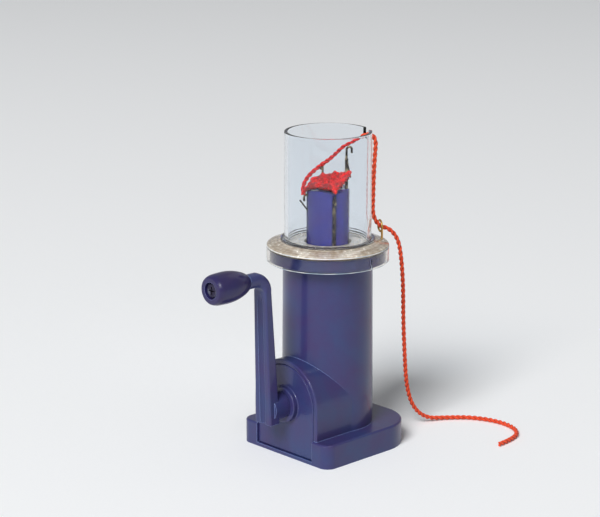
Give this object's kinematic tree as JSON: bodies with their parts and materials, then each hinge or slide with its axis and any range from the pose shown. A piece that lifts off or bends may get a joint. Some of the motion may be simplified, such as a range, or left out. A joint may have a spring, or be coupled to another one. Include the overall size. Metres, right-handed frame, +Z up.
{
  "type": "i-cord knitting mill",
  "caption": "Hand-cranked i-cord mill: clear guard tube over latch needles in a slotted cylinder, bevel-geared crank, barrel body on a flat foot.",
  "frame": {"origin": "centre of the cord outlet's mouth: on the axis of the needle cylinder, in the plane that the foot stands on", "axes": "+Z up along the needle cylinder, crank on the -X side, yarn guide between +X and -Y"},
  "size_m": [0.1444, 0.0876, 0.1436],
  "materials": {
    "navy_plastic": "satin moulded plastic",
    "knob_plastic": "satin moulded plastic",
    "blue_plastic": "satin moulded plastic",
    "dark_plastic": "matt moulded plastic",
    "gear_plastic": "natural acetal",
    "clear_plastic": "polished clear plastic",
    "brass_wire": "bright drawn wire",
    "bush_metal": "sintered bronze",
    "shaft_steel": "ground steel",
    "screw_steel": "zinc plated steel",
    "needle_steel": "polished steel",
    "latch_steel": "polished steel",
    "yarn_fibre": "two-ply twisted yarn",
    "knit_fibre": "knitted yarn"
  },
  "bodies": {
    "root": {"housing": "navy_plastic", "case_cover": "navy_plastic", "base_plate": "navy_plastic", "base_screws": "screw_steel", "clear_cover": "clear_plastic", "yarn_guide": "brass_wire", "lower_cam": "dark_plastic", "upper_cam": "dark_plastic", "shaft_bush": "bush_metal", "yarn": "yarn_fibre"},
    "crank": {"crank_shaft": "shaft_steel", "bevel_pinion": "gear_plastic", "crank_arm": "navy_plastic", "knob_screw": "screw_steel"},
    "grip": {"knob": "knob_plastic"},
    "cylinder": {"needle_cylinder": "blue_plastic", "ring_gear": "gear_plastic", "knitted_cord": "knit_fibre"},
    "needle_c_body": {"needle_c": "needle_steel", "rivet_c": "needle_steel"},
    "latch_c_body": {"latch_c": "latch_steel"},
    "needle_b_body": {"needle_b": "needle_steel", "rivet_b": "needle_steel"},
    "latch_b_body": {"latch_b": "latch_steel"},
    "needle_a_body": {"needle_a": "needle_steel", "rivet_a": "needle_steel"},
    "latch_a_body": {"latch_a": "latch_steel"},
    "needle_d_body": {"needle_d": "needle_steel", "rivet_d": "needle_steel"},
    "latch_d_body": {"latch_d": "latch_steel"}
  },
  "joints": [
    {"name": "crank_turn", "type": "hinge", "parent": "root", "child": "crank", "pos_m": [-0.024, 0, 0.0243], "axis": [-1, 0, 0], "continuous": true},
    {"name": "knob_spin", "type": "hinge", "parent": "crank", "child": "grip", "pos_m": [-0.058, 0, 0.0842], "axis": [-1, 0, 0], "continuous": true},
    {"name": "cylinder_turn", "type": "hinge", "parent": "root", "child": "cylinder", "pos_m": [0, 0, 0.008], "axis": [0, 0, 1], "continuous": true},
    {"name": "needle_c_slide", "type": "slide", "parent": "cylinder", "child": "needle_c_body", "axis": [0, 0, 1], "range_m": [-0.0205, 0]},
    {"name": "latch_c_swing", "type": "hinge", "parent": "needle_c_body", "child": "latch_c_body", "pos_m": [0.00798, -0.00416, 0.1285], "axis": [0.4617, 0.887, 0], "range_deg": [-132, 0]},
    {"name": "needle_b_slide", "type": "slide", "parent": "cylinder", "child": "needle_b_body", "axis": [0, 0, 1], "range_m": [-0.01152, 0.00898]},
    {"name": "latch_b_swing", "type": "hinge", "parent": "needle_b_body", "child": "latch_b_body", "pos_m": [0.00416, 0.00798, 0.11952], "axis": [-0.887, 0.4617, 0], "range_deg": [-114, 18]},
    {"name": "needle_a_slide", "type": "slide", "parent": "cylinder", "child": "needle_a_body", "axis": [0, 0, 1], "range_m": [-0.00022, 0.02028]},
    {"name": "latch_a_swing", "type": "hinge", "parent": "needle_a_body", "child": "latch_a_body", "pos_m": [-0.00798, 0.00416, 0.10822], "axis": [-0.4617, -0.887, 0], "range_deg": [0, 132]},
    {"name": "needle_d_slide", "type": "slide", "parent": "cylinder", "child": "needle_d_body", "axis": [0, 0, 1], "range_m": [-0.00004, 0.02046]},
    {"name": "latch_d_swing", "type": "hinge", "parent": "needle_d_body", "child": "latch_d_body", "pos_m": [-0.00416, -0.00798, 0.10804], "axis": [0.887, -0.4617, 0], "range_deg": [-124, 8]}
  ],
  "couplings": [
    {"joint": "cylinder_turn", "follows": "crank_turn", "ratio": 0.4}
  ]
}
